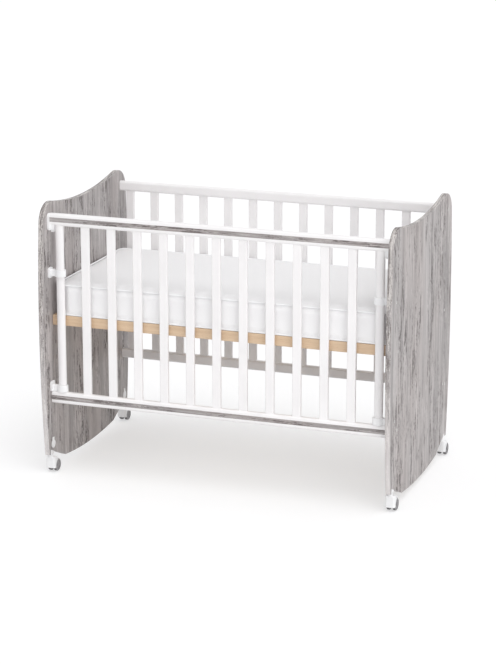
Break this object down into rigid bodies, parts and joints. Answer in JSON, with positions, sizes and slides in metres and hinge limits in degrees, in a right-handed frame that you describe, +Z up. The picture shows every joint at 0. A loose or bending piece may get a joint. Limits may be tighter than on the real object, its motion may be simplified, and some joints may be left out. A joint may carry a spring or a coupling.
{
  "type": "rocking crib",
  "caption": "Rocking crib with bowed grey wood-grain end panels, white slatted sides, a drop side, an adjustable mattress base, a mattress and swivel casters under a rocker bottom.",
  "frame": {"origin": "on the floor, at the middle of the crib's length and depth", "axes": "+X along the crib's length to its right end, -Y towards the drop side at the front, +Z up"},
  "size_m": [1.256, 0.7438, 0.952],
  "materials": {
    "panel_decor": "matt grey weathered wood-grain decor",
    "stripe_decor": "matt grey weathered wood-grain decor",
    "white_paint": "white satin paint",
    "white_plastic": "white, softly glossy",
    "caster_plastic": "white, softly glossy",
    "grey_wheel": "mid-grey, matt",
    "steel": "zinc-plated",
    "bolt_metal": "muted satin heads",
    "base_wood": "pale tan wood, satin",
    "slat_wood": "raw pale wood",
    "mattress_cover": "white woven cover with piping"
  },
  "bodies": {
    "frame": {"back_bar_01": "white_paint", "back_bar_02": "white_paint", "back_bar_03": "white_paint", "back_bar_04": "white_paint", "back_bar_05": "white_paint", "back_bar_06": "white_paint", "back_bar_07": "white_paint", "back_bar_08": "white_paint", "back_bar_09": "white_paint", "back_bar_10": "white_paint", "back_bar_11": "white_paint", "back_bar_12": "white_paint", "back_bar_13": "white_paint", "back_bottom_rail": "white_paint", "back_top_rail": "white_paint", "caster_sockets": "caster_plastic", "end_panel_left": "panel_decor", "end_panel_right": "panel_decor", "guide_bracket_left_lower": "white_plastic", "guide_bracket_left_upper": "white_plastic", "guide_bracket_right_lower": "white_plastic", "guide_bracket_right_upper": "white_plastic", "panel_bolts": "bolt_metal"},
    "drop_side": {"front_bar_01": "white_paint", "front_bar_02": "white_paint", "front_bar_03": "white_paint", "front_bar_04": "white_paint", "front_bar_05": "white_paint", "front_bar_06": "white_paint", "front_bar_07": "white_paint", "front_bar_08": "white_paint", "front_bar_09": "white_paint", "front_bar_10": "white_paint", "front_bar_11": "white_paint", "front_bottom_rail": "white_paint", "front_rail_stripes": "stripe_decor", "front_top_rail": "white_paint", "guide_post_left": "white_paint", "guide_post_right": "white_paint", "latch_housings": "white_plastic", "latch_springs": "steel"},
    "latch_button_left": {"latch_button_left": "white_plastic"},
    "latch_button_right": {"latch_button_right": "white_plastic"},
    "mattress_base": {"base_end_rails": "base_wood", "base_long_rail_back": "base_wood", "base_long_rail_front": "base_wood", "base_slats": "slat_wood"},
    "mattress": {"mattress": "mattress_cover"},
    "caster_stem_front_left": {"caster_stem_front_left": "steel"},
    "caster_hood_front_left": {"caster_hood_front_left": "caster_plastic"},
    "caster_wheels_front_left": {"caster_wheels_front_left": "grey_wheel"},
    "caster_stem_front_right": {"caster_stem_front_right": "steel"},
    "caster_hood_front_right": {"caster_hood_front_right": "caster_plastic"},
    "caster_wheels_front_right": {"caster_wheels_front_right": "grey_wheel"},
    "caster_stem_back_left": {"caster_stem_back_left": "steel"},
    "caster_hood_back_left": {"caster_hood_back_left": "caster_plastic"},
    "caster_wheels_back_left": {"caster_wheels_back_left": "grey_wheel"},
    "caster_stem_back_right": {"caster_stem_back_right": "steel"},
    "caster_hood_back_right": {"caster_hood_back_right": "caster_plastic"},
    "caster_wheels_back_right": {"caster_wheels_back_right": "grey_wheel"}
  },
  "joints": [
    {"name": "drop_side_slide", "type": "slide", "parent": "frame", "child": "drop_side", "axis": [0, 0, 1], "range_m": [-0.118, 0]},
    {"name": "latch_button_left_press", "type": "slide", "parent": "drop_side", "child": "latch_button_left", "axis": [0, 0, 1], "range_m": [0, 0.004], "stiffness_N_per_m": 400, "springref_m": -0.003, "deforming": ["latch_springs"]},
    {"name": "latch_button_right_press", "type": "slide", "parent": "drop_side", "child": "latch_button_right", "axis": [0, 0, 1], "range_m": [0, 0.004], "stiffness_N_per_m": 400, "springref_m": -0.003, "deforming": ["latch_springs"]},
    {"name": "base_level", "type": "slide", "parent": "frame", "child": "mattress_base", "axis": [0, 0, 1], "range_m": [-0.267, 0]},
    {"name": "mattress_lift", "type": "slide", "parent": "mattress_base", "child": "mattress", "axis": [0, 0, 1], "range_m": [0, 0.4]},
    {"name": "caster_pull_front_left", "type": "slide", "parent": "frame", "child": "caster_stem_front_left", "axis": [0, 0, 1], "range_m": [-0.05, 0]},
    {"name": "caster_swivel_front_left", "type": "hinge", "parent": "caster_stem_front_left", "child": "caster_hood_front_left", "pos_m": [-0.611, -0.316, 0.045], "axis": [0, 0, 1], "continuous": true},
    {"name": "caster_roll_front_left", "type": "hinge", "parent": "caster_hood_front_left", "child": "caster_wheels_front_left", "pos_m": [-0.611, -0.291, 0.021], "axis": [1, 0, 0], "continuous": true},
    {"name": "caster_pull_front_right", "type": "slide", "parent": "frame", "child": "caster_stem_front_right", "axis": [0, 0, 1], "range_m": [-0.05, 0]},
    {"name": "caster_swivel_front_right", "type": "hinge", "parent": "caster_stem_front_right", "child": "caster_hood_front_right", "pos_m": [0.611, -0.316, 0.045], "axis": [0, 0, 1], "continuous": true},
    {"name": "caster_roll_front_right", "type": "hinge", "parent": "caster_hood_front_right", "child": "caster_wheels_front_right", "pos_m": [0.611, -0.291, 0.021], "axis": [1, 0, 0], "continuous": true},
    {"name": "caster_pull_back_left", "type": "slide", "parent": "frame", "child": "caster_stem_back_left", "axis": [0, 0, 1], "range_m": [-0.05, 0]},
    {"name": "caster_swivel_back_left", "type": "hinge", "parent": "caster_stem_back_left", "child": "caster_hood_back_left", "pos_m": [-0.611, 0.316, 0.045], "axis": [0, 0, 1], "continuous": true},
    {"name": "caster_roll_back_left", "type": "hinge", "parent": "caster_hood_back_left", "child": "caster_wheels_back_left", "pos_m": [-0.611, 0.341, 0.021], "axis": [1, 0, 0], "continuous": true},
    {"name": "caster_pull_back_right", "type": "slide", "parent": "frame", "child": "caster_stem_back_right", "axis": [0, 0, 1], "range_m": [-0.05, 0]},
    {"name": "caster_swivel_back_right", "type": "hinge", "parent": "caster_stem_back_right", "child": "caster_hood_back_right", "pos_m": [0.611, 0.316, 0.045], "axis": [0, 0, 1], "continuous": true},
    {"name": "caster_roll_back_right", "type": "hinge", "parent": "caster_hood_back_right", "child": "caster_wheels_back_right", "pos_m": [0.611, 0.341, 0.021], "axis": [1, 0, 0], "continuous": true}
  ]
}
